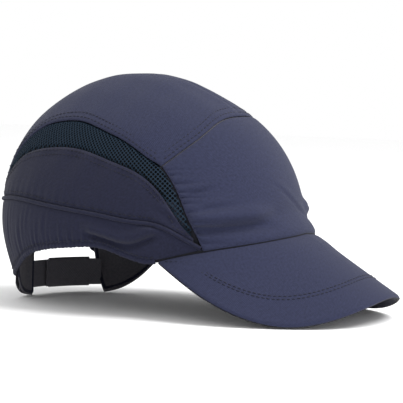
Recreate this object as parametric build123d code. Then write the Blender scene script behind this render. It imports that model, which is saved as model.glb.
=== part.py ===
from build123d import *
import functools
import math
import os

import numpy as np

# A bump cap: a sewn fabric cap with a stiff peak, holding a hard shell and foam pads inside.
# All sizes are in millimetres. -Y is forward (the way the peak points), +X is the wearer's
# left and +Z is up. The floor that the cap stands on is Z = 0.
# A place on the crown is given by its azimuth, in degrees from straight ahead and positive
# towards the wearer's right, and its elevation above the crown's centre, in degrees.

# ---- crown: centre, and distance from the centre to the outer face at each elevation ----
CROWN_CENTRE = Vector(0, 33.0, 59.3)
FRONT_RADII = [(-40, 97), (-15, 102), (10, 101), (35, 97), (60, 92.4)]
TOP_RADIUS = 95.4
REAR_RADII = [(60, 100.5), (30, 105.5), (0, 104), (-17, 103.5), (-30, 107), (-45, 108)]
SIDE_RADII = [(-40, 79), (-15, 86.5), (15, 85), (45, 86), (70, 90.5)]
SQUARENESS = 0.15

# ---- layers of the crown: depth of each below the outer face, and its thickness ----
FABRIC = 1.2
MESH_DEPTH = 0.4
MESH_THICKNESS = 0.8
BAND_DEPTH = 2.9
BAND_THICKNESS = 2.0
SHELL_DEPTH = 5.4
SHELL_THICKNESS = 2.0
PAD_DEPTH = 8.3
PAD_THICKNESS = 5.0
SEAM_GAP = 0.25

# ---- seams on the wearer's right: (azimuth, elevation), in degrees ----
FRONT_SEAM = [(0, 48), (12, 47.6), (28, 44.2), (41, 37.4), (52, 31), (61, 25)]
FRONT_PANEL_SIDE = [(-8.8, 44.6), (-2.2, 47.6), (1.7, 49.7), (12, 53.7), (22, 58.7), (25, 60.7)]
MESH_TOP = [(48, -2.2), (50, 1.7), (54, 12), (59, 22), (65, 27.4), (71, 31.7), (82, 38.2), (92, 41.8),
            (106, 45), (118, 45.6), (132, 42.2), (142, 36.8), (150, 27.5), (158, 13.4)]
MESH_BOTTOM = [(48, -4.2), (53, 1), (60, 11.6), (68, 20), (83, 27), (101, 31.8), (115, 32.2), (129, 29.4),
               (141, 24.6), (150, 18), (158, 12.6)]
REAR_SEAM = [(158, 13), (168, 11.4), (180, 11)]
PIPED_SEAM = [(45.4, -7.4), (53, -3.5), (62, 0.6), (73, 1.9), (86, 3.7), (100, 5.2), (120, 6.8), (136, 7.4),
              (152, 6), (166, 4.6), (180, 4)]
PEAK_SEAM_HEIGHT = [(0, 54.5), (14, 52.6), (26, 49.8), (36, 47), (45, 44), (54.7, 40.2), (61.7, 37)]

# ---- hem, from the peak's corner over the ear, round the rear corner and up the rear arch:
# (azimuth, height, azimuth of the matching place on the piped seam) ----
EAR_HEM = [(45, 44, 45.6), (54, 40.7, 54), (61.7, 38, 61.7), (66, 37.2, 66), (71, 38.7, 71), (77, 41.5, 77),
           (84, 45, 84), (92, 46.2, 91), (101, 45, 99), (110, 43.4, 107), (119, 41, 115), (127, 37.4, 122)]
RIGHT_HEM = EAR_HEM + [(134, 32.4, 128), (141, 27, 134), (148, 22.5, 140), (155, 19, 146), (161, 19.5, 152),
                       (163.5, 26, 158), (164.7, 36, 163), (167.3, 46, 168), (172, 53, 173),
                       (179.95, 56, 179.95)]
LEFT_HEM = EAR_HEM + [(134, 32.4, 127), (139, 29, 131), (143, 28.5, 135), (145.3, 33, 140), (147, 41, 146),
                      (151, 49, 153), (158, 54, 160), (168, 56, 170), (179.95, 56, 179.95)]
BINDING_START_AZIMUTH = 62.6
BINDING_END = 0.997
BINDING_WIDTH = 1.5
BINDING_GAP = 0.1
BINDING_PROUD = 0.5
BINDING_THICKNESS = 1.6
PIPING_WIDTH = 0.8
PIPING_PROUD = 0.5
PIPING_THICKNESS = 2.0

# ---- inner parts, in degrees of azimuth and elevation ----
SWEATBAND_END = 137.0
SWEATBAND_TOP = 12.0
SWEATBAND_LIFT = 1.5
SWEATBAND_JOIN = (52.0, 66.0)
SHELL_RIM = [(0, 5), (50, 8), (90, 12), (130, 9), (180, 6)]
SHELL_CORNERS = (50.0, 130.0)
VENT_LENGTH = 34.0
VENT_WIDTH = 8.0
VENT_OFFSETS = (-44.0, -22.0, 0.0, 22.0, 44.0)
VENT_START = 30.0
VENT_REACH = 80.0
VENT_ROW_OFFSET = 32.0
BROW_PAD = (-46.0, 46.0, 9.0, 27.0)
SIDE_PAD = (64.0, 116.0, 16.0, 36.0)
REAR_PAD = (138.0, 222.0, 12.0, 30.0)
CROWN_PAD_REACH = (24.0, 15.0)
TAPE_DEPTH = 1.65
TAPE_THICKNESS = 0.6
TAPE_HALF_WIDTH = 3.4

# ---- rear wings: facings that carry the strap ----
WING_DEPTH = 1.6
WING_THICKNESS = 1.0
LEFT_WING_FOOT = [(110, 29), (117, 18.5), (122, 12.2), (130, 5.2), (138, 0.9), (144.4, -0.95)]
LEFT_WING_TOP = 44.0
RIGHT_WING_PLAN = [(-53.9, 100.0), (-44.8, 109.6), (-37.4, 115.3)]
RIGHT_WING_FOOT = [(0, 33), (0.25, 27.5), (0.42, 20), (0.55, 11), (0.7, 4.5), (0.85, 1.4), (1, 0)]
RIGHT_WING_TOP = [(0, 44), (0.4, 45), (0.7, 47), (1, 41)]
POCKET_ANGLES = (-25.0, 0.0)
POCKET_STEPS = 4
COVER_ANGLES = (-19.0, 0.0)
COVER_THICKNESS = 0.7
COVER_LIFT = 0.5
COVER_TOP = 38.0

# ---- peak ----
PEAK_CORNER_AZIMUTH = 61.7
PEAK_EDGE = [(0, -137.4, 18.0), (36.3, -129.9, 12.2), (69.8, -94.9, 2.35), (84.4, -50.9, 14.8)]
BROW_FLARE = 8.5
BROW_FLARE_TOP = 9.0
PEAK_COVER = 0.9
PEAK_BOARD = 1.8
PEAK_LAYER_GAP = 0.1
PEAK_BOARD_INSET = 3.0
PEAK_SEAM_CLEARANCE = 0.25
PEAK_END_MARGIN = 0.004

# ---- strap: an arc about a vertical axis, angles from straight back towards the left ----
STRAP_AXIS = Vector(-5.1, 51.4, 0)
STRAP_BOTTOM = 5.0
STRAP_WIDTH = 18.5
TAB_WIDTH = 20.5
LOOP_RADIUS = 70.6
LOOP_THICKNESS = 1.2
HOOK_PAD_RADIUS = 72.0
HOOK_PAD_THICKNESS = 1.0
HOOK_RADIUS = 73.1
HOOK_THICKNESS = 1.3
LOOP_ANGLES = (12.0, 46.6)
HOOK_ANGLES = (-15.0, 15.2)
TAB_ANGLES = (15.8, 42.0)
HOOK_PAD_ANGLES = (20.5, 41.5)
POCKET_GAP = 0.3

SURFACE_TOLERANCE = 0.02
CORNER_BLEND = 0.08
MM_PER_DEGREE = 1.6


def spline(points):
    """A natural cubic curve through (x, y) points, as a function of x."""
    x = np.array([p[0] for p in points], dtype=float)
    y = np.array([p[1] for p in points], dtype=float)
    step = np.diff(x)
    slope = np.diff(y) / step
    size = len(x)
    matrix = np.eye(size)
    right = np.zeros(size)
    for i in range(1, size - 1):
        matrix[i, i - 1:i + 2] = step[i - 1], 2 * (step[i - 1] + step[i]), step[i]
        right[i] = 6 * (slope[i] - slope[i - 1])
    bend = np.linalg.solve(matrix, right)

    def value(at):
        i = int(np.clip(np.searchsorted(x, at) - 1, 0, size - 2))
        t = at - x[i]
        first = slope[i] - step[i] * (2 * bend[i] + bend[i + 1]) / 6
        return float(y[i] + first * t + bend[i] / 2 * t**2 + (bend[i + 1] - bend[i]) / (6 * step[i]) * t**3)

    return value


def ease(t):
    """0 below 0, 1 above 1 and smooth between."""
    t = min(max(t, 0.0), 1.0)
    return t * t * (3 - 2 * t)


mid_plane = spline(FRONT_RADII + [(90, TOP_RADIUS)] + [(180 - e, r) for e, r in REAR_RADII])
side_plane = spline(SIDE_RADII + [(90, TOP_RADIUS)] + [(180 - e, r) for e, r in reversed(SIDE_RADII)])
front_seam = spline(FRONT_SEAM)
front_panel_side = spline(FRONT_PANEL_SIDE)
mesh_top = spline(MESH_TOP)
mesh_bottom = spline(MESH_BOTTOM)
piped_seam = spline(PIPED_SEAM)
rear_seam = spline(REAR_SEAM)
peak_seam_height = spline(PEAK_SEAM_HEIGHT)


def crown_radius(azimuth, elevation):
    """The distance from the crown's centre to its outer face, from a rounded-square section."""
    turn = math.radians(azimuth)
    ahead = mid_plane(elevation) if math.cos(turn) >= 0 else mid_plane(180 - elevation)
    power = 2 + SQUARENESS * max(math.cos(math.radians(elevation)), 0) ** 2
    total = abs(math.cos(turn) / ahead) ** power + abs(math.sin(turn) / side_plane(elevation)) ** power
    return total ** (-1 / power)


def towards(azimuth, elevation):
    """The unit direction from the crown's centre."""
    turn = math.radians(azimuth)
    rise = math.radians(elevation)
    return Vector(-math.cos(rise) * math.sin(turn), -math.cos(rise) * math.cos(turn), math.sin(rise))


def crown_point(direction, depth=0.0):
    """The point of the crown in a direction from its centre, a depth below the outer face."""
    ray = direction.normalized()
    azimuth = math.degrees(math.atan2(-ray.X, -ray.Y))
    elevation = math.degrees(math.asin(ray.Z))
    return CROWN_CENTRE + ray * (crown_radius(azimuth, elevation) - depth)


@functools.cache
def elevation_at(azimuth, height):
    """The elevation at which the crown's outer face reaches a height."""
    low, high = -50.0, 80.0
    for _ in range(20):
        middle = (low + high) / 2
        if CROWN_CENTRE.Z + crown_radius(azimuth, middle) * math.sin(math.radians(middle)) > height:
            high = middle
        else:
            low = middle
    return (low + high) / 2


def brow_flare(azimuth, elevation):
    """How far the front panel stands out beyond the crown just above the peak."""
    if abs(azimuth) > PEAK_CORNER_AZIMUTH:
        return 0.0
    seam = elevation_at(azimuth, peak_seam_height(abs(azimuth)))
    fade = 1 - ease((elevation - seam) / BROW_FLARE_TOP)
    return BROW_FLARE * math.cos(math.radians(90 * azimuth / PEAK_CORNER_AZIMUTH)) ** 2 * fade


def skin(outer_point, inner_point, across, along):
    """A closed solid between two smooth faces, each a function of u and v from 0 to 1."""
    faces = []
    for place in (outer_point, inner_point):
        rows = [[place(i / across, j / along) for j in range(along + 1)] for i in range(across + 1)]
        faces.append(Face.make_surface_from_array_of_points(rows, tol=SURFACE_TOLERANCE, min_deg=3, max_deg=3))
    for edge in faces[0].edges():
        partner = min(faces[1].edges(), key=lambda other: (other @ 0.5 - edge @ 0.5).length)
        faces.append(Face.make_surface_from_curves(edge, partner))
    return Solid(Shell(faces))


def crown_layer(place, depth, thickness, across=40, along=10):
    """A layer of the crown; place(u, v) gives a direction from the crown's centre."""
    return skin(lambda u, v: crown_point(place(u, v), depth),
                lambda u, v: crown_point(place(u, v), depth + thickness), across, along)


def coons(bottom, top, start, end):
    """A patch of directions between four border curves that meet at its corners."""
    def place(u, v):
        edges = bottom(u) * (1 - v) + top(u) * v + start(v) * (1 - u) + end(v) * u
        corners = (bottom(0) * (1 - u) + bottom(1) * u) * (1 - v) + (top(0) * (1 - u) + top(1) * u) * v
        return (edges - corners).normalized()
    return place


def strip(low, high, start, end, sign=1):
    """Directions between two elevations, each a function of azimuth; sign is 1 on the wearer's right."""
    def place(u, v):
        azimuth = start + (end - start) * u
        return towards(sign * azimuth, low(azimuth) * (1 - v) + high(azimuth) * v)
    return place


def shifted(curve, amount):
    return lambda azimuth: curve(azimuth) + amount


def level(elevation):
    return lambda azimuth: elevation


def hem_curve(points):
    """The hem as a function of the fraction of its length: azimuth, height and piped seam azimuth."""
    travel = [0.0]
    for before, after in zip(points, points[1:]):
        step = math.hypot((after[0] - before[0]) * MM_PER_DEGREE, after[1] - before[1])
        travel.append(travel[-1] + step)
    curves = [spline([(t / travel[-1], p[k]) for t, p in zip(travel, points)]) for k in range(3)]
    return lambda u: [curve(u) for curve in curves]


def below_hem(hem, u, drop):
    """Azimuth and elevation of a place a number of degrees outside the hem, square to it."""
    step = 0.004
    ends = []
    for at in (max(u - step, 0), min(u + step, 1)):
        azimuth, height, _ = hem(at)
        ends.append((azimuth, elevation_at(azimuth, height)))
    azimuth, height, _ = hem(u)
    run, rise = ends[1][0] - ends[0][0], ends[1][1] - ends[0][1]
    length = math.hypot(run, rise)
    return azimuth + rise / length * drop, elevation_at(azimuth, height) - run / length * drop


def fraction_at(hem, azimuth):
    """The fraction of the hem's length at which it first reaches an azimuth."""
    return next(i / 1000 for i in range(1001) if hem(i / 1000)[0] >= azimuth)


def save(node, shape):
    export_step(shape, f"parts/{node}.step")
    print(node, round(shape.volume, 1), shape.is_valid)


# ---- fabric panels of the crown ----

def front_panel():
    """The forehead panel, from the peak's seam up to the front seam."""
    def seam(azimuth):
        return elevation_at(azimuth, peak_seam_height(abs(azimuth)))

    foot, head = seam(FRONT_PANEL_SIDE[0][1]), FRONT_PANEL_SIDE[-1][0]

    def point(depth):
        def at(u, v):
            side_elevation = foot + (head - foot) * v
            side_azimuth = front_panel_side(side_elevation)
            share = (side_elevation - seam(side_azimuth)) / (front_seam(side_azimuth) - seam(side_azimuth))
            azimuth = (2 * u - 1) * (side_azimuth - SEAM_GAP)
            low, high = seam(azimuth), front_seam(abs(azimuth)) - SEAM_GAP
            elevation = low + (high - low) * min(max(share, 0), 1)
            return crown_point(towards(azimuth, elevation), depth - brow_flare(azimuth, elevation))
        return at

    return skin(point(0), point(FABRIC), 48, 20)


def crown_panel():
    """The one panel that runs from the front seam over the top to the rear."""
    side_start, side_end = FRONT_SEAM[-1][0], MESH_TOP[-1][0]

    def front(u):
        azimuth = (1 - 2 * u) * side_start
        return towards(azimuth, front_seam(abs(azimuth)) + SEAM_GAP)

    def rear(u):
        azimuth = side_end + (360 - 2 * side_end) * u
        return towards(azimuth, rear_seam(min(azimuth, 360 - azimuth)) + SEAM_GAP)

    def side(sign):
        def at(v):
            azimuth = side_start + (side_end - side_start) * v
            start_miss = (front_seam(side_start) - mesh_top(side_start)) * ease(1 - v / CORNER_BLEND)
            end_miss = (rear_seam(side_end) - mesh_top(side_end)) * ease((v - 1) / CORNER_BLEND + 1)
            return towards(sign * azimuth, mesh_top(azimuth) + start_miss + end_miss + SEAM_GAP)
        return at

    return crown_layer(coons(front, rear, side(1), side(-1)), 0, FABRIC, 40, 40)


def mesh_panel(sign):
    start, end = MESH_TOP[0][0], MESH_TOP[-1][0]
    low, high = shifted(mesh_bottom, SEAM_GAP / 2), shifted(mesh_top, -SEAM_GAP)
    return crown_layer(strip(low, high, start, end, sign), MESH_DEPTH, MESH_THICKNESS, 60, 10)


def side_panel(sign):
    """The panel between the mesh and the piped seam, back to the rear seam."""
    start = MESH_BOTTOM[0][0]
    upper = spline(MESH_BOTTOM + REAR_SEAM[1:])
    low, high = shifted(piped_seam, SEAM_GAP / 2), shifted(upper, -SEAM_GAP / 2)
    return crown_layer(strip(low, high, start, 180 - SEAM_GAP / 2, sign), 0, FABRIC, 60, 10)


def lower_panel(hem, sign):
    """The gathered panel between the piped seam and the hem."""
    def place(u, v):
        azimuth, height, seam_azimuth = hem(u)
        bottom = elevation_at(azimuth, height)
        top = piped_seam(seam_azimuth) - PIPING_WIDTH - SEAM_GAP
        return towards(sign * (azimuth * (1 - v) + seam_azimuth * v), bottom * (1 - v) + top * v)
    return crown_layer(place, 0, FABRIC, 70, 10)


def piping(sign):
    low, high = shifted(piped_seam, -PIPING_WIDTH), shifted(piped_seam, 0)
    place = strip(low, high, PIPED_SEAM[0][0], 180 - SEAM_GAP / 2, sign)
    return crown_layer(place, -PIPING_PROUD, PIPING_THICKNESS, 50, 4)


def hem_binding(hem, sign):
    """The rolled elastic edge below the hem."""
    start = fraction_at(hem, BINDING_START_AZIMUTH)

    def place(u, v):
        drop = BINDING_GAP + BINDING_WIDTH * v
        azimuth, elevation = below_hem(hem, start + (BINDING_END - start) * u, drop)
        return towards(sign * azimuth, elevation)

    return crown_layer(place, -BINDING_PROUD, BINDING_THICKNESS, 70, 4)


def front_seam_tape():
    """The tape that covers the front seam on the inside."""
    end = FRONT_SEAM[-1][0]

    def place(u, v):
        azimuth = (2 * u - 1) * end
        return towards(azimuth, front_seam(abs(azimuth)) + (2 * v - 1) * TAPE_HALF_WIDTH)

    return crown_layer(place, TAPE_DEPTH, TAPE_THICKNESS, 40, 4)


def rear_seam_tape():
    low = elevation_at(180, RIGHT_HEM[-1][1])
    place = strip(level(low), level(REAR_SEAM[-1][1]), 180 - TAPE_HALF_WIDTH, 180 + TAPE_HALF_WIDTH)
    return crown_layer(place, TAPE_DEPTH, TAPE_THICKNESS, 6, 12)


# ---- peak ----

def peak_layer(depth, thickness, inset):
    """One layer of the peak: a ruled surface from the crown's seam out to the free edge."""
    corner_azimuth = PEAK_CORNER_AZIMUTH
    corner = crown_point(towards(corner_azimuth, elevation_at(corner_azimuth, peak_seam_height(corner_azimuth))))
    right = [Vector(-x, y, z) for x, y, z in PEAK_EDGE[:0:-1]]
    left = [Vector(x, y, z) for x, y, z in PEAK_EDGE]
    outline = [corner] + right + left + [Vector(-corner.X, corner.Y, corner.Z)]
    travel = [0.0]
    for before, after in zip(outline, outline[1:]):
        travel.append(travel[-1] + (after - before).length)
    places = [t / travel[-1] for t in travel]
    edge_x = spline([(t, p.X) for t, p in zip(places, outline)])
    edge_y = spline([(t, p.Y) for t, p in zip(places, outline)])
    edge_z = spline([(t, p.Z) for t, p in zip(places, outline)])

    def ruled(u, v):
        azimuth = (1 - 2 * u) * corner_azimuth
        elevation = elevation_at(azimuth, peak_seam_height(abs(azimuth)))
        root = crown_point(towards(azimuth, elevation), -brow_flare(azimuth, elevation))
        edge = Vector(edge_x(u), edge_y(u), edge_z(u))
        return root * (1 - v) + edge * v

    def top(u, v):
        """The ruled surface, its ends drawn in along the edge and its rim pulled back by the inset."""
        narrow = inset / (2 * PEAK_EDGE[-1][0])
        u = PEAK_END_MARGIN + narrow + (1 - 2 * (PEAK_END_MARGIN + narrow)) * u
        root, edge = ruled(u, 0), ruled(u, 1)
        length = (edge - root).length
        start = (PEAK_SEAM_CLEARANCE + inset / 2) / length
        return root + (edge - root) * (start + (1 - start - inset / length) * v)

    def lowered(drop):
        def at(u, v):
            small = 0.01
            over = top(min(u + small, 1), v) - top(max(u - small, 0), v)
            out = top(u, min(v + small, 1)) - top(u, max(v - small, 0))
            down = out.cross(over).normalized()
            return top(u, v) + down * (drop if down.Z < 0 else -drop)
        return at

    return skin(lowered(depth), lowered(depth + thickness), 56, 12)


# ---- hard shell and pads ----

def protective_shell():
    """The hard dome inside the crown, with rows of vent slots over the top."""
    rim = spline(SHELL_RIM)
    front_corner, rear_corner = SHELL_CORNERS

    def border(start, end):
        def at(t):
            azimuth = start + (end - start) * t
            return towards(azimuth, rim(min(abs(azimuth), 360 - abs(azimuth))))
        return at

    place = coons(border(front_corner, -front_corner), border(rear_corner, 360 - rear_corner),
                  border(front_corner, rear_corner), border(-front_corner, -rear_corner))
    dome = crown_layer(place, SHELL_DEPTH, SHELL_THICKNESS, 40, 40)
    for x in VENT_OFFSETS:
        for side in (-1, 1):
            middle = CROWN_CENTRE + Vector(x, side * VENT_ROW_OFFSET, VENT_START)
            slot = extrude(Plane(origin=middle) * SlotOverall(VENT_LENGTH, VENT_WIDTH, rotation=90), VENT_REACH)
            dome = dome - slot
    return dome


def pad(start, end, low, high, sign=1):
    return crown_layer(strip(level(low), level(high), start, end, sign), PAD_DEPTH, PAD_THICKNESS, 20, 8)


def crown_pad():
    """The cushion under the top of the shell."""
    reach_y, reach_x = CROWN_PAD_REACH

    def place(u, v):
        across = math.tan(math.radians(reach_x)) * (2 * u - 1)
        along = math.tan(math.radians(reach_y)) * (2 * v - 1)
        return Vector(across, along, 1)

    return crown_layer(place, PAD_DEPTH, PAD_THICKNESS, 12, 16)


def sweatband():
    """The band inside the hem, from one rear corner round the brow to the other."""
    ear = spline([(azimuth, height) for azimuth, height, _ in RIGHT_HEM if azimuth <= 141])
    front = spline(PEAK_SEAM_HEIGHT)

    def low(azimuth):
        turn = abs(azimuth)
        blend = ease((turn - SWEATBAND_JOIN[0]) / (SWEATBAND_JOIN[1] - SWEATBAND_JOIN[0]))
        height = front(min(turn, PEAK_CORNER_AZIMUTH)) * (1 - blend) + ear(max(turn, 50)) * blend
        return elevation_at(azimuth, height + SWEATBAND_LIFT)

    place = strip(low, level(SWEATBAND_TOP), -SWEATBAND_END, SWEATBAND_END)
    return crown_layer(place, BAND_DEPTH, BAND_THICKNESS, 80, 6)


# ---- rear wings and strap ----

def strap_point(angle, radius, height):
    turn = math.radians(angle)
    return Vector(STRAP_AXIS.X + radius * math.sin(turn), STRAP_AXIS.Y + radius * math.cos(turn), height)


def arc_band(angles, radius, thickness, width):
    """A flat band standing on edge along an arc about the strap's axis."""
    start, end = angles
    bottom = STRAP_BOTTOM + (STRAP_WIDTH - width) / 2
    middle = (start + end) / 2
    outline = []
    for r in (radius, radius + thickness):
        points = [strap_point(a, r, bottom) for a in (start, middle, end)]
        outline.append(Edge.make_three_point_arc(*points))
    outline.append(Line(outline[0] @ 0, outline[1] @ 0).edge())
    outline.append(Line(outline[0] @ 1, outline[1] @ 1).edge())
    return extrude(make_face(Wire(outline)), width, dir=(0, 0, 1))


def left_wing():
    foot = spline(LEFT_WING_FOOT)
    start, end = LEFT_WING_FOOT[0][0], LEFT_WING_FOOT[-1][0]

    def low(azimuth):
        return elevation_at(azimuth, foot(azimuth))

    def high(azimuth):
        return elevation_at(azimuth, LEFT_WING_TOP)

    return crown_layer(strip(low, high, start, end, -1), WING_DEPTH, WING_THICKNESS, 30, 10)


def right_wing():
    """The facing that runs from inside the rear corner out to the mouth that the hook strap leaves."""
    start, end = POCKET_ANGLES
    radius = HOOK_RADIUS - POCKET_GAP - WING_THICKNESS
    foot, top = spline(RIGHT_WING_FOOT), spline(RIGHT_WING_TOP)
    pocket = [start + (end - start) * i / POCKET_STEPS for i in range(POCKET_STEPS + 1)]

    def at(extra):
        plan = [Vector(x, y, 0) for x, y in RIGHT_WING_PLAN]
        plan = [p + (p - STRAP_AXIS).normalized() * extra for p in plan]
        plan += [strap_point(angle, radius + extra, 0) for angle in pocket]
        places = [i / (len(plan) - 1) for i in range(len(plan))]
        plan_x = spline([(t, p.X) for t, p in zip(places, plan)])
        plan_y = spline([(t, p.Y) for t, p in zip(places, plan)])
        return lambda u, v: Vector(plan_x(u), plan_y(u), foot(u) * (1 - v) + top(u) * v)

    return skin(at(0), at(WING_THICKNESS), 40, 8)


def pocket_cover():
    """The outer layer of the pocket that the hook strap's root slides in, cut to the facing's foot."""
    start, end = COVER_ANGLES
    pocket_start, pocket_end = POCKET_ANGLES
    radius = HOOK_RADIUS + HOOK_THICKNESS + POCKET_GAP
    foot = spline(RIGHT_WING_FOOT)
    share_at_start = len(RIGHT_WING_PLAN) / (len(RIGHT_WING_PLAN) + POCKET_STEPS)

    def at(extra):
        def place(u, v):
            angle = start + (end - start) * u
            along = (angle - pocket_start) / (pocket_end - pocket_start)
            low = foot(share_at_start + (1 - share_at_start) * along) + COVER_LIFT
            return strap_point(angle, radius + extra, low + (COVER_TOP - low) * v)
        return place

    return skin(at(0), at(COVER_THICKNESS), 16, 6)


os.makedirs("parts", exist_ok=True)
right_hem, left_hem = hem_curve(RIGHT_HEM), hem_curve(LEFT_HEM)
save("front_panel", front_panel())
save("crown_panel", crown_panel())
for side, sign, hem in (("right", 1, right_hem), ("left", -1, left_hem)):
    save(f"mesh_panel_{side}", mesh_panel(sign))
    save(f"side_panel_{side}", side_panel(sign))
    save(f"lower_panel_{side}", lower_panel(hem, sign))
    save(f"piping_{side}", piping(sign))
    save(f"hem_binding_{side}", hem_binding(hem, sign))
    save(f"side_pad_{side}", pad(*SIDE_PAD, sign))
save("front_seam_tape", front_seam_tape())
save("rear_seam_tape", rear_seam_tape())
board_depth = PEAK_COVER + PEAK_LAYER_GAP
under_depth = board_depth + PEAK_BOARD + PEAK_LAYER_GAP
save("peak_top_cover", peak_layer(0, PEAK_COVER, 0))
save("peak_board", peak_layer(board_depth, PEAK_BOARD, PEAK_BOARD_INSET))
save("peak_under_cover", peak_layer(under_depth, PEAK_COVER, 0))
save("protective_shell", protective_shell())
save("brow_pad", pad(*BROW_PAD))
save("rear_pad", pad(*REAR_PAD))
save("crown_pad", crown_pad())
save("sweatband", sweatband())
save("wing_left", left_wing())
save("wing_right", right_wing())
save("pocket_cover", pocket_cover())
save("loop_strap", arc_band(LOOP_ANGLES, LOOP_RADIUS, LOOP_THICKNESS, STRAP_WIDTH))
save("hook_strap", arc_band(HOOK_ANGLES, HOOK_RADIUS, HOOK_THICKNESS, STRAP_WIDTH))
save("hook_tab", arc_band(TAB_ANGLES, HOOK_RADIUS, HOOK_THICKNESS, TAB_WIDTH))
save("hook_pad", arc_band(HOOK_PAD_ANGLES, HOOK_PAD_RADIUS, HOOK_PAD_THICKNESS, STRAP_WIDTH - 1))
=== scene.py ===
import math

import bpy
import numpy as np
from mathutils import Matrix, Vector


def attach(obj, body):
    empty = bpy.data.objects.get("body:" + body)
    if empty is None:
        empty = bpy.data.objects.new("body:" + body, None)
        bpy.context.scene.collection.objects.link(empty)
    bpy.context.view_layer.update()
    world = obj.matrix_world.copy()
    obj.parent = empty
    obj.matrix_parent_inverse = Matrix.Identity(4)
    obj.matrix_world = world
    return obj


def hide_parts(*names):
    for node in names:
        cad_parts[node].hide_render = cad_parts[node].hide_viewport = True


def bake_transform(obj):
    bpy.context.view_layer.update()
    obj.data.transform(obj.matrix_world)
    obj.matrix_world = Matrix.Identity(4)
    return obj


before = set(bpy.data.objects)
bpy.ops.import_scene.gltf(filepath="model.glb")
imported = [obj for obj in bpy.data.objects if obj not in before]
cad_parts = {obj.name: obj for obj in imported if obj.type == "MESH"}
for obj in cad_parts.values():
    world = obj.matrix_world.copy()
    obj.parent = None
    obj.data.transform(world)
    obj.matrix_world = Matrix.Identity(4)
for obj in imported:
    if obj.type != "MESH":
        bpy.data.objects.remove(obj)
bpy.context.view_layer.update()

# The looks of the bump cap. Sizes below are in millimetres and degrees, and every mesh is made in
# metres. -Y is forward, +X is the wearer's left, +Z is up. A place on the crown is its azimuth
# (from straight ahead, positive towards the wearer's right) and elevation about the crown's centre.
MM = 0.001

# ---- the crown's shape, as in the CAD model ----
CROWN_CENTRE = np.array([0.0, 33.0, 59.3])
FRONT_RADII = [(-40, 97), (-15, 102), (10, 101), (35, 97), (60, 92.4)]
TOP_RADIUS = 95.4
REAR_RADII = [(60, 100.5), (30, 105.5), (0, 104), (-17, 103.5), (-30, 107), (-45, 108)]
SIDE_RADII = [(-40, 79), (-15, 86.5), (15, 85), (45, 86), (70, 90.5)]
SQUARENESS = 0.15
FRONT_SEAM = [(0, 48), (12, 47.6), (28, 44.2), (41, 37.4), (52, 31), (61, 25)]
FRONT_PANEL_SIDE = [(-8.8, 44.6), (-2.2, 47.6), (1.7, 49.7), (12, 53.7), (22, 58.7), (25, 60.7)]
MESH_TOP = [(48, -2.2), (50, 1.7), (54, 12), (59, 22), (65, 27.4), (71, 31.7), (82, 38.2), (92, 41.8),
            (106, 45), (118, 45.6), (132, 42.2), (142, 36.8), (150, 27.5), (158, 13.4)]
MESH_BOTTOM = [(48, -4.2), (53, 1), (60, 11.6), (68, 20), (83, 27), (101, 31.8), (115, 32.2), (129, 29.4),
               (141, 24.6), (150, 18), (158, 12.6)]
REAR_SEAM = [(158, 13), (168, 11.4), (180, 11)]
PIPED_SEAM = [(45.4, -7.4), (53, -3.5), (62, 0.6), (73, 1.9), (86, 3.7), (100, 5.2), (120, 6.8), (136, 7.4),
              (152, 6), (166, 4.6), (180, 4)]
PEAK_SEAM_HEIGHT = [(0, 54.5), (14, 52.6), (26, 49.8), (36, 47), (45, 44), (54.7, 40.2), (61.7, 37)]
EAR_HEM = [(45, 44, 45.6), (54, 40.7, 54), (61.7, 38, 61.7), (66, 37.2, 66), (71, 38.7, 71), (77, 41.5, 77),
           (84, 45, 84), (92, 46.2, 91), (101, 45, 99), (110, 43.4, 107), (119, 41, 115), (127, 37.4, 122)]
RIGHT_HEM = EAR_HEM + [(134, 32.4, 128), (141, 27, 134), (148, 22.5, 140), (155, 19, 146), (161, 19.5, 152),
                       (163.5, 26, 158), (164.7, 36, 163), (167.3, 46, 168), (172, 53, 173),
                       (179.95, 56, 179.95)]
LEFT_HEM = EAR_HEM + [(134, 32.4, 127), (139, 29, 131), (143, 28.5, 135), (145.3, 33, 140), (147, 41, 146),
                      (151, 49, 153), (158, 54, 160), (168, 56, 170), (179.95, 56, 179.95)]
MM_PER_DEGREE = 1.6
BINDING_START_AZIMUTH = 62.6
PEAK_CORNER_AZIMUTH = 61.7
REAR_END = 179.9
PEAK_EDGE = [(0, -137.4, 18.0), (36.3, -129.9, 12.2), (69.8, -94.9, 2.35), (84.4, -50.9, 14.8)]
BROW_FLARE = 8.5
BROW_FLARE_TOP = 9.0
STRAP_AXIS = (-5.1, 51.4)
STRAP_BOTTOM = 5.0
STRAP_WIDTH = 18.5
STRAP_MIDDLE = STRAP_BOTTOM + STRAP_WIDTH / 2
TAB_WIDTH = 20.5
LOOP_RADIUS = 70.6
LOOP_THICKNESS = 1.2
LOOP_ANGLES = (12, 48.5)
HOOK_RADIUS = 73.1
HOOK_THICKNESS = 1.3
HOOK_ANGLES = (-15, 42)
POCKET_RADII = (74.8, 75.4)
WING_CLOTH = 1.0
WING_GAP = 0.3
LEFT_WING_DEPTH = 1.6
LEFT_WING_FOOT = [(110, 29), (117, 18.5), (122, 12.2), (130, 5.2), (138, 0.9), (144.4, -0.95)]
LEFT_WING_TOP = 44.0
RIGHT_WING_PLAN = [(-53.9, 100.0), (-44.8, 109.6), (-37.4, 115.3)]
RIGHT_WING_FOOT = [(0, 33), (0.25, 27.5), (0.42, 20), (0.55, 11), (0.7, 4.5), (0.85, 1.4), (1, 0)]
RIGHT_WING_TOP = [(0, 44), (0.4, 45), (0.7, 47), (1, 41)]

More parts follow.
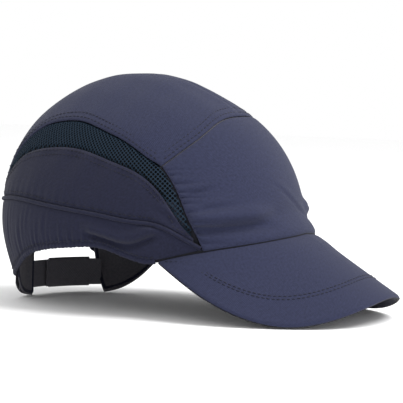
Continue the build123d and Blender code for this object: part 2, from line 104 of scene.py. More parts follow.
# ---- cloth ----
CLOTH = 1.2
SEAM_DIP = 0.75
SEAM_DIP_WIDTH = 1.3
FINE = 0.9
COARSE = 2.2
NET_STEP = 1.02
NET_UNDERLAP = 1.3
NET_HOLE = 0.77
NET_THICKNESS = 0.35
NET_DEPTH = 0.45
NET_TUCK = 1.9
# painted shade: how deep the near-black sheet behind the net lies
NET_SHADE_DEPTH = 3.0
TAPE_DEPTHS = (1.75, 2.3)
PAD_DEPTHS = (8.3, 10.6)
PAD_BULGE = 2.7
FLOOR_REACH = 4000
STITCH_LENGTH = 2.3
STITCH_GAP = 0.9
STITCH_RADIUS = 0.24

# ---- half width and half height of the rolled edges ----
PIPING_ROLL = (1.25, 1.1)
HEM_ROLL = (1.75, 1.15)
# the next three are near-black rolls of painted shade: under the peak's rim, in the brow seam and in the
# front panel's side seams
PEAK_RIM = (1.2, 1.1)
BROW_SEAM = (1.15, 1.2)
SEAM_SHADE_ROLL = (1.8, 0.9)
LEFT_WING_ROLL = (1.3, 0.95)
RIGHT_WING_ROLL = (1.3, 0.9)

# ---- the camera: its lens in millimetres, its place in metres ----
LENS = 175
CAMERA_AIM = (0, -0.0015, 0.0712)
CAMERA_DISTANCE = 1.3
CAMERA_BACKWARDS = (-0.9016, -0.428, 0.0617)
CAMERA_ACROSS = (0.4289, -0.9033, 0)
CAMERA_ROLL = 1.65

# ---- colours, as sRGB shares ----
NAVY = (0.15, 0.163, 0.25)
# painted shade: the crown's navy cloth, darkened to stand in for the shade on the side panels, lower panels,
# piping, binding and the peak's underside
SHADED_NAVY = (0.105, 0.112, 0.185)
CHARCOAL = (0.32, 0.315, 0.34)
NET_COLOUR = (0.105, 0.155, 0.205)
# painted shade: the near-black sheet behind the net that darkens its holes
NET_SHADE_COLOUR = (0.015, 0.017, 0.022)
THREAD = (0.07, 0.075, 0.12)
TOWELLING = (0.17, 0.18, 0.23)
FOAM = (0.13, 0.13, 0.14)
SHELL_COLOUR = (0.20, 0.21, 0.23)
BOARD_COLOUR = (0.5, 0.5, 0.5)
# painted shade: near-black navy for the rolls that darken the peak's rim, the brow seam and the front panel's
# side seams
GROOVE_SHADE_COLOUR = (0.05, 0.052, 0.08)
FLOOR_COLOUR = (0.985, 0.985, 0.985)


# ---- the crown's surface ----

def spline(points):
    """A natural cubic curve through (x, y) points, as a function of an array of x."""
    x = np.array([p[0] for p in points], dtype=float)
    y = np.array([p[1] for p in points], dtype=float)
    step = np.diff(x)
    slope = np.diff(y) / step
    size = len(x)
    matrix = np.eye(size)
    right = np.zeros(size)
    for i in range(1, size - 1):
        matrix[i, i - 1:i + 2] = step[i - 1], 2 * (step[i - 1] + step[i]), step[i]
        right[i] = 6 * (slope[i] - slope[i - 1])
    bend = np.linalg.solve(matrix, right)

    def value(at):
        at = np.asarray(at, dtype=float)
        i = np.clip(np.searchsorted(x, at) - 1, 0, size - 2)
        t = at - x[i]
        first = slope[i] - step[i] * (2 * bend[i] + bend[i + 1]) / 6
        return y[i] + first * t + bend[i] / 2 * t**2 + (bend[i + 1] - bend[i]) / (6 * step[i]) * t**3

    return value


def curve_through(places, points):
    """A smooth curve through points, as a function of the place along it."""
    curves = [spline(list(zip(places, column))) for column in zip(*points)]
    return lambda at: [curve(at) for curve in curves]


def ease(t):
    """0 below 0, 1 above 1 and smooth between."""
    t = np.clip(t, 0.0, 1.0)
    return t * t * (3 - 2 * t)


def hump(x, middle, width):
    """A smooth bump of height 1."""
    return np.exp(-((x - middle) / width) ** 2)


mid_plane = spline(FRONT_RADII + [(90, TOP_RADIUS)] + [(180 - e, r) for e, r in REAR_RADII])
side_plane = spline(SIDE_RADII + [(90, TOP_RADIUS)] + [(180 - e, r) for e, r in reversed(SIDE_RADII)])
front_seam = spline(FRONT_SEAM)
front_panel_side = spline(FRONT_PANEL_SIDE)
mesh_top = spline(MESH_TOP)
mesh_bottom = spline(MESH_BOTTOM)
side_top = spline(MESH_BOTTOM + REAR_SEAM[1:])
piped_seam = spline(PIPED_SEAM)
rear_seam = spline(REAR_SEAM)
peak_seam_height = spline(PEAK_SEAM_HEIGHT)


def crown_radius(azimuth, elevation):
    """From the crown's centre to its outer face, blended between the middle and side outlines."""
    turn = np.radians(azimuth)
    ahead = mid_plane(np.where(np.cos(turn) >= 0, elevation, 180 - elevation))
    power = 2 + SQUARENESS * np.maximum(np.cos(np.radians(elevation)), 0) ** 2
    total = np.abs(np.cos(turn) / ahead) ** power + np.abs(np.sin(turn) / side_plane(elevation)) ** power
    return total ** (-1 / power)


def towards(azimuth, elevation):
    """Unit vectors from the crown's centre."""
    turn, rise = np.radians(azimuth), np.radians(elevation)
    return np.stack([-np.cos(rise) * np.sin(turn), -np.cos(rise) * np.cos(turn), np.sin(rise) + 0 * turn], -1)


def crown_point(azimuth, elevation, out=0.0):
    """Points of the crown, a distance out from its outer face."""
    azimuth, elevation = np.broadcast_arrays(np.asarray(azimuth, float), np.asarray(elevation, float))
    reach = crown_radius(azimuth, elevation) + out
    return CROWN_CENTRE + towards(azimuth, elevation) * reach[..., None]


def angles_of(direction):
    """The azimuth and elevation of directions, the inverse of towards."""
    direction = direction / np.linalg.norm(direction, axis=-1, keepdims=True)
    azimuth = np.degrees(np.arctan2(-direction[..., 0], -direction[..., 1]))
    return azimuth, np.degrees(np.arcsin(np.clip(direction[..., 2], -1, 1)))


def elevation_at(azimuth, height):
    """The elevation at which the crown's outer face reaches a height."""
    azimuth, height = np.broadcast_arrays(np.asarray(azimuth, float), np.asarray(height, float))
    low, high = np.full(azimuth.shape, -50.0), np.full(azimuth.shape, 80.0)
    for _ in range(26):
        middle = (low + high) / 2
        above = CROWN_CENTRE[2] + crown_radius(azimuth, middle) * np.sin(np.radians(middle)) > height
        high = np.where(above, middle, high)
        low = np.where(above, low, middle)
    return (low + high) / 2


def peak_seam(azimuth):
    return elevation_at(azimuth, peak_seam_height(np.minimum(np.abs(azimuth), PEAK_CORNER_AZIMUTH)))


def brow_flare(azimuth, elevation):
    """How far the front panel stands out beyond the crown just above the peak."""
    inside = np.clip(azimuth, -PEAK_CORNER_AZIMUTH, PEAK_CORNER_AZIMUTH)
    fade = 1 - ease((elevation - peak_seam(inside)) / BROW_FLARE_TOP)
    return BROW_FLARE * np.cos(np.radians(90 * inside / PEAK_CORNER_AZIMUTH)) ** 2 * fade


def hem_curve(points):
    """The hem as a function of the fraction of its length: azimuth, height and piped seam azimuth."""
    travel = [0.0]
    for before, after in zip(points, points[1:]):
        step = math.hypot((after[0] - before[0]) * MM_PER_DEGREE, after[1] - before[1])
        travel.append(travel[-1] + step)
    return curve_through([t / travel[-1] for t in travel], points)


def below_hem(hem, u, drop):
    """Azimuth and elevation of places a number of degrees outside the hem, square to it."""
    def place(at):
        azimuth, height, _ = hem(at)
        return np.array([azimuth, elevation_at(azimuth, height)])

    run, rise = place(np.minimum(u + 0.004, 1)) - place(np.maximum(u - 0.004, 0))
    length = np.hypot(run, rise)
    azimuth, elevation = place(u)
    return azimuth + rise / length * drop, elevation - run / length * drop


# ---- meshes ----

def steps(length, spacing):
    """Shares from 0 to 1 along a length, closer together near both ends, for a rolled edge."""
    near = [0.0, 0.35, 0.8, 1.4, 2.2]
    inner = np.linspace(3.0, length - 3.0, max(int((length - 6.0) / spacing), 2))
    return np.concatenate([near, inner, [length - n for n in reversed(near)]]) / length


def arc_lengths(points):
    """Distances along the two directions of a grid of points, each measured along its own line."""
    along_u = np.zeros(points.shape[:2])
    along_v = np.zeros(points.shape[:2])
    along_u[1:] = np.cumsum(np.linalg.norm(np.diff(points, axis=0), axis=2), axis=0)
    along_v[:, 1:] = np.cumsum(np.linalg.norm(np.diff(points, axis=1), axis=2), axis=1)
    return along_u, along_v


def edge_distance(points):
    """How far each point of a grid is from the nearest border."""
    along_u, along_v = arc_lengths(points)
    across = np.minimum(along_u, along_u[-1:] - along_u)
    return np.minimum(across, np.minimum(along_v, along_v[:, -1:] - along_v))


def travel_along(path):
    return np.concatenate([[0.0], np.cumsum(np.linalg.norm(np.diff(path, axis=0), axis=1))])


def interpolated(at, places, path):
    return np.stack([np.interp(at, places, path[:, axis]) for axis in range(3)], -1)


def resampled(path, count):
    return interpolated(np.linspace(0, len(path) - 1, count), range(len(path)), path)


def on_cap(thing, node=None):
    """Puts a piece on the cap, in place of its CAD node where it has one."""
    if node:
        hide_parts(node)
    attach(thing, "cap")


def link(mesh, name, material, smooth=True):
    thing = bpy.data.objects.new(name, mesh)
    bpy.context.scene.collection.objects.link(thing)
    mesh.materials.append(material)
    mesh.polygons.foreach_set("use_smooth", np.full(len(mesh.polygons), smooth))
    return thing


def make_mesh(name, points, faces, material, flat=None, smooth=True):
    """A mesh from points in millimetres; flat gives each point's place on the cut cloth."""
    mesh = bpy.data.meshes.new(name)
    mesh.from_pydata((np.asarray(points) * MM).tolist(), [], faces)
    if flat is not None:
        layer = mesh.uv_layers.new(name="cloth")
        corner = np.zeros(len(mesh.loops), dtype=np.int32)
        mesh.loops.foreach_get("vertex_index", corner)
        layer.data.foreach_set("uv", np.asarray(flat)[corner].astype(np.float32).ravel())
    mesh.update()
    return link(mesh, name, material, smooth)


def grid_faces(across, along, start=0, flip=False):
    faces = []
    for i in range(across - 1):
        for j in range(along - 1):
            a = start + i * along + j
            quad = (a, a + along, a + along + 1, a + 1)
            faces.append(quad[::-1] if flip else quad)
    return faces


def slab(name, outer, inner, material):
    """A closed piece of cloth between two grids of points, its rim rounded by an extra row."""
    across, along = outer.shape[:2]
    towards_outside = np.cross(np.gradient(outer, axis=0), np.gradient(outer, axis=1))
    flip = float((towards_outside * (outer - inner)).sum()) < 0
    size = across * along
    rim = [i * along for i in range(across)]
    rim += [(across - 1) * along + j for j in range(1, along)]
    rim += [i * along + along - 1 for i in range(across - 2, -1, -1)]
    rim += [j for j in range(along - 2, 0, -1)]
    flat_outer, flat_inner = outer.reshape(-1, 3), inner.reshape(-1, 3)
    middle = (flat_outer[rim] + flat_inner[rim]) / 2
    points = np.concatenate([flat_outer, flat_inner, middle])
    faces = grid_faces(across, along, 0, flip) + grid_faces(across, along, size, not flip)
    count = len(rim)
    for k in range(count):
        a, b = rim[k], rim[(k + 1) % count]
        m, n = 2 * size + k, 2 * size + (k + 1) % count
        for quad in ((a, m, n, b), (m, a + size, b + size, n)):
            faces.append(quad[::-1] if flip else quad)
    along_u, along_v = arc_lengths(outer)
    flat = np.stack([along_u, along_v], -1).reshape(-1, 2)
    return make_mesh(name, points, faces, material, np.concatenate([flat, flat, flat[rim]]))


def thin_edges(outer, inner, reach=0.9, least=0.25):
    """Draws the two faces together at the border, so that the edge looks turned under."""
    near = np.clip(edge_distance(outer) / reach, 0, 1)[..., None]
    share = least + (1 - least) * np.sqrt(near * (2 - near))
    middle = (outer + inner) / 2
    return middle + (outer - middle) * share, middle + (inner - middle) * share


def cloth_sheet(grid):
    along_u, along_v = arc_lengths(grid)


def crown_cloth(name, azimuth, elevation, material, depth=0.0, lift=0.0, thickness=CLOTH, dip=SEAM_DIP):
    """A panel of the crown over grids of azimuth and elevation, dipping into its seams."""
    plain = crown_point(azimuth, elevation)
    near = edge_distance(plain)
    surface = lift - depth - dip * np.exp(-((near / SEAM_DIP_WIDTH) ** 2))
    outer = crown_point(azimuth, elevation, surface)
    inner = crown_point(azimuth, elevation, surface - thickness)
    outer, inner = thin_edges(outer, inner)
    return slab(name, outer, inner, material), outer


def capsule_row(path, normals):
    """Points and faces of stitches along a path of points, standing a little out of the cloth."""
    travel = travel_along(path)
    count = int((travel[-1] - STITCH_GAP) / (STITCH_LENGTH + STITCH_GAP))
    pitch = travel[-1] / max(count, 1)
    points, faces = [], []
    shape = [(-0.5, 0.25), (-0.4, 0.85), (-0.1, 1.0), (0.1, 1.0), (0.4, 0.85), (0.5, 0.25)]
    for k in range(count):
        middle = (k + 0.5) * pitch
        first = interpolated(middle - STITCH_LENGTH / 2, travel, path)
        last = interpolated(middle + STITCH_LENGTH / 2, travel, path)
        normal = interpolated(middle, travel, normals)
        normal /= np.linalg.norm(normal)
        direction = last - first
        side = np.cross(normal, direction)
        side /= np.linalg.norm(side)
        start = len(points)
        for share, size in shape:
            centre = (first + last) / 2 + direction * share
            sink = normal * STITCH_RADIUS * (1.6 * abs(share) ** 2 * 4 - 1.0)
            for corner in range(6):
                turn = math.radians(60 * corner)
                spoke = side * math.cos(turn) + normal * math.sin(turn)
                points.append(centre - sink * 0.6 + spoke * STITCH_RADIUS * size)
        rings = len(shape)
        for ring in range(rings - 1):
            for corner in range(6):
                a = start + ring * 6 + corner
                b = start + ring * 6 + (corner + 1) % 6
                faces.append((a, b, b + 6, a + 6))
        faces.append(tuple(start + corner for corner in range(5, -1, -1)))
        faces.append(tuple(start + (rings - 1) * 6 + corner for corner in range(6)))
    return points, faces


def stitching(name, rows, material):
    """One piece for several rows of stitches."""
    points, faces = [], []
    for path, normals in rows:
        more, their_faces = capsule_row(path, normals)
        faces += [tuple(v + len(points) for v in face) for face in their_faces]
        points += more
    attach(make_mesh(name, points, faces, material), "cap")


def crown_row(azimuth, elevation, out=0.0):
    """A row of places on the crown and the way out at each."""
    return crown_point(azimuth, elevation, out), towards(azimuth, elevation)


def tube(name, path, normals, half, material, node=None, ripple=0.0, sides=10):
    """A rolled edge on the cap: an oval section, half its width and height given, along a path."""
    half_width, half_height = half
    forward = np.gradient(path, axis=0)
    forward /= np.linalg.norm(forward, axis=1, keepdims=True)
    side = np.cross(normals, forward)
    side /= np.linalg.norm(side, axis=1, keepdims=True)
    up = np.cross(forward, side)
    travel = travel_along(path)
    swell = 1 + ripple * np.sin(travel * 2 * math.pi / 3.1)
    swell = swell + 0.6 * ripple * np.sin(travel * 2 * math.pi / 7.3 + 1)
    points, flat = [], []
    for i in range(len(path)):
        for k in range(sides):
            turn = 2 * math.pi * k / sides
            points.append(path[i] + (side[i] * math.cos(turn) * half_width
                                     + up[i] * math.sin(turn) * half_height) * swell[i])
            flat.append((travel[i], k * 2 * math.pi * half_height / sides))
    faces = []
    for i in range(len(path) - 1):
        for k in range(sides):
            a, b = i * sides + k, i * sides + (k + 1) % sides
            faces.append((a, a + sides, b + sides, b))
    faces.append(tuple(range(sides)))
    faces.append(tuple((len(path) - 1) * sides + k for k in range(sides - 1, -1, -1)))
    on_cap(make_mesh(name, points, faces, material, flat), node)


# ---- materials ----

def linear(colour):
    return tuple(((c + 0.055) / 1.055) ** 2.4 if c > 0.04 else c / 12.92 for c in colour) + (1.0,)


def base_material(name, colour, rough, sheen=0.0, specular=0.18):
    material = bpy.data.materials.new(name)
    material.use_nodes = True
    shader = material.node_tree.nodes["Principled BSDF"]
    values = {"Base Color": linear(colour), "Roughness": rough, "Specular IOR Level": specular,
              "Sheen Weight": sheen, "Sheen Roughness": 0.5}
    for socket, value in values.items():
        shader.inputs[socket].default_value = value
    return material, shader


def put(socket, value):
    """Sets a shader input, or links it where the value is another node's output."""
    if isinstance(value, bpy.types.NodeSocket):
        socket.id_data.links.new(value, socket)
    else:
        socket.default_value = value


def add_node(material, kind, **values):
    """A new shader node with the named inputs set or linked."""
    node = material.node_tree.nodes.new("ShaderNode" + kind)
    for name, value in values.items():
        put(node.inputs[name], value)
    return node


def add_math(material, operation, *terms):
    node = add_node(material, "Math")
    node.operation = operation
    for number, term in enumerate(terms):
        put(node.inputs[number], term)
    return node.outputs["Value"]


def woven(name, colour, thread=0.85, bump=0.6, vary=0.3, turned=0.0):
    """Woven cloth: two crossing sets of threads on the cut cloth, with a soft fuzz and slight fading."""
    material, shader = base_material(name, colour, 0.9, sheen=0.06)
    place = add_node(material, "UVMap")
    place.uv_map = "cloth"
    flat = place.outputs["UV"]
    turn = add_node(material, "Mapping", Vector=flat)
    turn.inputs["Rotation"].default_value[2] = math.radians(turned)
    waves = []
    for direction in ("X", "Y"):
        wave = add_node(material, "TexWave", Vector=turn.outputs["Vector"], Scale=0.314 / thread,
                        Distortion=0.6, Detail=1.0)
        wave.bands_direction = direction
        waves.append(wave.outputs["Fac"])
    weave = add_math(material, "MULTIPLY", *waves)
    fuzz = add_node(material, "TexNoise", Vector=flat, Scale=1.3, Detail=3.0)
    height = add_math(material, "ADD", weave, fuzz.outputs["Fac"])
    relief = add_node(material, "Bump", Height=height, Strength=bump, Distance=0.0002)
    put(shader.inputs["Normal"], relief.outputs["Normal"])
    wear = add_node(material, "TexNoise", Vector=flat, Scale=0.6, Detail=4.0)
    shade = add_math(material, "MULTIPLY_ADD", weave, 0.5, wear.outputs["Fac"])
    shades = add_node(material, "ValToRGB", Fac=shade)
    for number, (position, share) in enumerate(((0.3, 1 - vary), (0.95, 1 + vary))):
        element = shades.color_ramp.elements[number]
        element.position = position
        element.color = tuple(c * share for c in linear(colour)[:3]) + (1.0,)
    put(shader.inputs["Base Color"], shades.outputs["Color"])
    return material


def mottled(name, colour, scale, strength, rough, specular=0.3, distance=0.0003, sheen=0.0):
    """A plain material with a fine uneven surface, in the object's own space."""
    material, shader = base_material(name, colour, rough, sheen, specular)
    place = add_node(material, "TexCoord")
    grain = add_node(material, "TexNoise", Vector=place.outputs["Object"], Scale=scale, Detail=4.0)
    relief = add_node(material, "Bump", Height=grain.outputs["Fac"], Strength=strength, Distance=distance)
    put(shader.inputs["Normal"], relief.outputs["Normal"])
    return material


navy = woven("navy_cloth", NAVY)
peak_cloth = woven("peak_cloth", NAVY, vary=0.26)
# painted shade: a darker copy of the navy cloth for the parts that lie in shade
shaded_navy = woven("side_cloth_painted_shade", SHADED_NAVY)
charcoal = woven("charcoal_cloth", CHARCOAL, thread=0.6, bump=0.25)
# painted shade: the binding is drawn in the same darkened navy
bound = woven("binding_cloth", SHADED_NAVY, thread=0.6)
# painted shade: near-black cloth that darkens grooves, seams and the peak's rim
groove_shade = woven("groove_shade_cloth", GROOVE_SHADE_COLOUR, thread=0.6)
net_cord = mottled("net_cord", NET_COLOUR, 900, 0.3, 0.8, specular=0.1)
# painted shade: near-black sheet that stands in for the shade behind the net
net_shade = mottled("net_shade_sheet", NET_SHADE_COLOUR, 600, 0.3, 0.95)
thread = mottled("sewing_thread", THREAD, 1500, 0.3, 0.6)
dark_thread = mottled("dark_thread", CHARCOAL, 1500, 0.3, 0.6)
webbing = woven("webbing", CHARCOAL, thread=1.4, bump=0.6, turned=45)
hook_tape = mottled("hook_tape", FOAM, 1400, 1.0, 0.9, distance=0.0006)
towelling = mottled("towelling", TOWELLING, 700, 0.9, 1.0, distance=0.0012, sheen=0.4)
foam = mottled("foam", FOAM, 900, 0.8, 1.0, distance=0.0008)
shell_plastic = mottled("shell_plastic", SHELL_COLOUR, 250, 0.15, 0.42, specular=0.5)
board = mottled("peak_board", BOARD_COLOUR, 200, 0.1, 0.5)


# ---- front panel ----

def slack_fold(turn, elevation, level, tilt, far_end, near_end, roll, valley):
    """A fold across the brow: a roll (height, rise, width) above a valley (depth, width).

    Each end says where the fold has faded out and over how many degrees it does so.
    """
    line = level + (50 - turn) * tilt
    along = ease((far_end[0] - turn) / far_end[1]) * ease((turn - near_end[0]) / near_end[1])
    raised = roll[0] * hump(elevation, line + roll[1], roll[2])
    return along * (raised - valley[0] * hump(elevation, line, valley[1]))


def front_folds(azimuth, elevation):
    """Shirring along the net's front edge, a slack roll above the brow and small creases."""
    turn = np.abs(azimuth)
    from_side = (front_panel_side(np.clip(elevation, -9, 25)) - turn) * 1.6
    phase = elevation * 180 / 2.9 + 40 * np.sin(np.radians(elevation * 31))
    gather = 2.9 * np.abs(np.sin(np.radians(phase))) ** 0.6 - 2.3
    reach = 5 + 7 * np.sin(np.radians(elevation * 360 / 11 + 40)) ** 2
    lift = gather * np.exp(-np.clip(from_side, 0, None) / reach) * (1 - ease((elevation - 21) / 5))
    lift += slack_fold(turn, elevation, -1.2, 0.06, (52, 6), (12, 14), (4.0, 4.8, 3.0), (3.2, 1.7))
    lift += slack_fold(turn, elevation, 6.2, 0.12, (50, 8), (26, 16), (1.1, 2.4, 2.0), (1.3, 1.1))
    lift += slack_fold(turn, elevation, 12.8, 0.22, (53, 6), (34, 12), (0.9, 2.2, 1.8), (1.0, 1.0))
    for start, level, tilt, size in ((3, 10.5, 0.55, 0.6), (-10, 3.5, 0.4, 0.7), (-24, 6, -0.3, 0.5)):
        line = level + (azimuth - start) * tilt
        lift -= size * hump(azimuth, start, 7) * hump(elevation, line, 1.0)
        lift += 0.7 * size * hump(azimuth, start, 7) * hump(elevation, line + 2.2, 1.6)
    lift += 0.35 * np.sin(np.radians(azimuth * 5 + elevation * 3)) * ease((elevation - 4) / 8)
    return lift


def front_panel():
    u = 2 * steps(190, COARSE * 0.6) - 1
    v = steps(100, FINE)
    foot = float(peak_seam(FRONT_PANEL_SIDE[0][1]))
    head = FRONT_PANEL_SIDE[-1][0]
    side_elevation = foot + (head - foot) * v
    side_azimuth = front_panel_side(side_elevation)
    start = peak_seam(side_azimuth)
    share = np.clip((side_elevation - start) / (front_seam(side_azimuth) - start), 0, 1)
    azimuth = u[:, None] * (side_azimuth[None, :] - 0.15)
    low, high = peak_seam(azimuth), front_seam(np.abs(azimuth)) - 0.15
    elevation = low + (high - low) * share[None, :]
    settle = ease(edge_distance(crown_point(azimuth, elevation)) / 1.6)
    lift = brow_flare(azimuth, elevation) + front_folds(azimuth, elevation) * settle
    thing, grid = crown_cloth("front_cloth", azimuth, elevation, navy, lift=lift, dip=0.45)
    on_cap(thing, "front_panel")
    cloth_sheet(grid)


# ---- crown panel ----

def crown_panel():
    side_start, side_end = FRONT_SEAM[-1][0], MESH_TOP[-1][0]
    gap = 0.15

    def front(u):
        azimuth = (1 - 2 * u) * side_start
        return towards(azimuth, front_seam(np.abs(azimuth)) + gap)

    def rear(u):
        azimuth = side_end + (360 - 2 * side_end) * u
        return towards(azimuth, rear_seam(np.minimum(azimuth, 360 - azimuth)) + gap)

    def side(sign, v):
        azimuth = side_start + (side_end - side_start) * v
        start_miss = (float(front_seam(side_start)) - float(mesh_top(side_start))) * ease(1 - v / 0.08)
        end_miss = (float(rear_seam(side_end)) - float(mesh_top(side_end))) * ease((v - 1) / 0.08 + 1)
        return towards(sign * azimuth, mesh_top(azimuth) + start_miss + end_miss + gap)

    u, v = steps(150, 1.5), steps(200, 1.5)
    bottom, top = front(u)[:, None], rear(u)[:, None]
    start, end = side(1, v)[None], side(-1, v)[None]
    uu, vv = u[:, None, None], v[None, :, None]
    corners = (bottom[0] * (1 - uu) + bottom[-1] * uu) * (1 - vv) + (top[0] * (1 - uu) + top[-1] * uu) * vv
    azimuth, elevation = angles_of(bottom * (1 - vv) + top * vv + start * (1 - uu) + end * uu - corners)
    plain = crown_point(azimuth, elevation)
    x, y = plain[..., 0], plain[..., 1]
    lift = 0.35 * hump(np.abs(x), 5, 4) - 0.45 * hump(x, 0, 1.3)
    lift *= ease((y + 45) / 25) * ease((40 - y) / 40)
    lift += 0.4 * np.sin(x / 13 + 0.6 * np.sin(y / 17)) * np.sin(y / 16 + 1)
    lift += 0.2 * np.sin(x / 5.3 + y / 9) * np.sin(y / 6.1 - x / 11)
    lift *= ease(edge_distance(plain) / 8)
    thing, grid = crown_cloth("crown_cloth", azimuth, elevation, navy, lift=lift, dip=0.45)
    on_cap(thing, "crown_panel")
    cloth_sheet(grid)


# ---- net ----

def net_inside(azimuth, elevation):
    """Whether a place is in the net or its underlap."""
    low, high = mesh_bottom(azimuth) - NET_UNDERLAP, mesh_top(azimuth) + NET_UNDERLAP
    return (azimuth > 48.2) & (azimuth < 157.6) & (elevation > low) & (elevation < high)


def net_panel(side, sign):
    """A knitted net with an open hole in each cell, over a near-black sheet of painted shade that darkens the
    holes.
    """
    start, end, floor_level, ceiling = 46.0, 160.0, -8.0, 49.0
    wide, tall = int((end - start) / NET_STEP), int((ceiling - floor_level) / NET_STEP)

    def place(azimuth, elevation, deeper):
        low, high = mesh_bottom(azimuth), mesh_top(azimuth)
        near = np.clip(np.minimum(elevation - low, high - elevation) * 1.5, -2, None)
        out = -NET_DEPTH - NET_TUCK * (1 - ease((near + 0.5) / 2.5)) - deeper
        return crown_point(sign * azimuth, elevation, out)

    def middle(i, j):
        return start + (i + j + 1) * NET_STEP, floor_level + (i - j) * NET_STEP

    cells = []
    for i in range((wide + tall) // 2 + 2):
        for j in range(-tall // 2 - 1, wide // 2 + 2):
            if net_inside(*middle(i, j)):
                cells.append((i, j))
    shared = sorted({(i + p, j + q) for i, j in cells for p, q in ((0, 0), (1, 0), (1, 1), (0, 1))})
    index = {corner: k for k, corner in enumerate(shared)}
    corner_azimuth = np.array([start + (i + j) * NET_STEP for i, j in shared])
    corner_elevation = np.array([floor_level + (i - j) * NET_STEP for i, j in shared])
    turns = np.radians(22.5 + 45 * np.arange(8))
    reach = NET_HOLE * NET_STEP / math.sqrt(2) / math.cos(math.radians(22.5))
    middles = np.array([middle(i, j) for i, j in cells])
    hole_azimuth = middles[:, :1] + reach * np.cos(turns)
    hole_elevation = middles[:, 1:] + reach * np.sin(turns)
    grids = []
    for deeper in (0.0, NET_THICKNESS):
        corner_points = place(corner_azimuth, corner_elevation, deeper)
        hole_points = place(hole_azimuth.ravel(), hole_elevation.ravel(), deeper)
        grids.append(np.concatenate([corner_points, hole_points]))
    size = len(grids[0])
    faces = []
    for number, (i, j) in enumerate(cells):
        first = len(shared) + number * 8
        # the cell's corners in turn: towards the rear, above, towards the front and below
        square = [index[(i + 1, j + 1)], index[(i + 1, j)], index[(i, j)], index[(i, j + 1)]]
        for layer in range(2):
            shift = layer * size
            for k in range(4):
                p, q = square[k] + shift, square[(k + 1) % 4] + shift
                one, two, three = [first + shift + (2 * k + n) % 8 for n in (0, 1, 2)]
                cell = [(p, one, two, q), (q, two, three)]
                faces += [face[::-1] if (layer == 1) == (sign > 0) else face for face in cell]
        for k in range(8):
            a, b = first + k, first + (k + 1) % 8
            quad = (a, b, b + size, a + size)
            faces.append(quad if sign > 0 else quad[::-1])
    thing = make_mesh(f"net_{side}", np.concatenate(grids), faces, net_cord)
    on_cap(thing, f"mesh_panel_{side}")
    fine = steps(180, COARSE)
    azimuth = (48.3 + (157.7 - 48.3) * fine)[:, None] + np.zeros(16)
    share = np.linspace(0, 1, 16)[None, :]
    low, high = mesh_bottom(azimuth) - 0.6, mesh_top(azimuth) + 0.6
    elevation = low + (high - low) * share
    # painted shade: a near-black sheet behind the net darkens its holes
    shade_sheet, grid = crown_cloth(f"net_shade_sheet_{side}", sign * azimuth, elevation, net_shade, depth=NET_SHADE_DEPTH,
                                thickness=0.5, dip=0.0)
    on_cap(shade_sheet)
    cloth_sheet(grid)
    cloth_sheet(grid)


# ---- side panels, piping and lower panels ----

def side_panel(side, sign):
    u, v = steps(210, 1.3), steps(50, FINE)
    azimuth = (48 + (REAR_END - 48) * u)[:, None] + 0 * v
    low, high = piped_seam(azimuth) + 0.1, side_top(azimuth) - 0.1
    elevation = low + (high - low) * v[None, :]
    share = v[None, :]
    lift = 0.22 * np.sin(azimuth / 4.1) * np.sin(azimuth / 9.7 + elevation / 4)
    lift += 0.18 * np.sin(azimuth / 2.2) * share
    lift += 0.5 * hump(azimuth, 57, 6) * np.sin(np.radians((elevation - azimuth * 0.6) * 360 / 6))
    lift += 0.3 * np.sin(np.radians(azimuth * 360 / 4.4)) * np.exp(-share * 5)
    lift *= ease(edge_distance(crown_point(azimuth, elevation)) / 2.5)
    # painted shade: the side panel is drawn in the darkened navy
    thing, grid = crown_cloth(f"side_cloth_painted_shade_{side}", sign * azimuth, elevation, shaded_navy, lift=lift)
    on_cap(thing, f"side_panel_{side}")
    cloth_sheet(grid)


fold_line = spline([(58, 0.78), (65, 0.62), (72, 0.36), (80, 0.22), (88, 0.25), (97, 0.36), (100, 0.38)])


def gathers(azimuth, share):
    """Vertical elastic gathers at the rear, softer ones over the ear and one S-shaped fold."""
    back = ease((azimuth - 98) / 22)
    ripple = np.sin(np.radians(azimuth * 360 / 3.3 + 30 * np.sin(np.radians(azimuth * 23))))
    ripple += 0.5 * np.sin(np.radians(azimuth * 360 / 5.3 + 70))
    body = np.sin(np.pi * np.clip(share, 0, 1)) * 0.45 + 0.55 * np.exp(-share * 3)
    lift = 0.42 * back * ripple * body * (0.55 + 0.45 * np.sin(azimuth / 2.1 + share * 5))
    ear = ease((azimuth - 70) / 12) * (1 - back)
    lift += 0.5 * ear * np.sin(np.radians(azimuth * 360 / 3.9)) * np.exp(-share * 3.2)
    line = fold_line(np.clip(azimuth, 58, 100))
    reach = ease((azimuth - 60) / 5) * ease((97 - azimuth) / 8)
    lift -= 2.6 * reach * hump(share, line, 0.10)
    lift += 2.7 * reach * hump(share, line + 0.27, 0.18)
    lift += 0.6 * reach * hump(share, line - 0.2, 0.12)
    hem_pucker = ease((azimuth - 84) / 5) * ease((132 - azimuth) / 12)
    lift += 0.55 * hem_pucker * np.sin(np.radians(azimuth * 360 / 2.3)) * np.exp(-share * 5.5)
    return lift


def lower_panel(side, sign, hem):
    u, v = steps(300, FINE), steps(36, FINE)
    azimuth, height, seam_azimuth = hem(u)
    bottom = elevation_at(azimuth, height)[:, None]
    top = (piped_seam(seam_azimuth) - 0.9)[:, None]
    share = v[None, :]
    place = azimuth[:, None] * (1 - share) + seam_azimuth[:, None] * share
    elevation = bottom * (1 - share) + top * share
    lift = gathers(place, share) * ease(edge_distance(crown_point(place, elevation)) / 3)
    lift += 0.9 * np.sin(np.pi * share) * ease((place - 80) / 20)
    # painted shade: the lower panel is drawn in the darkened navy
    thing, grid = crown_cloth(f"lower_cloth_{side}", sign * place, elevation, shaded_navy, lift=lift, dip=0.4)
    on_cap(thing, f"lower_panel_{side}")
    cloth_sheet(grid)


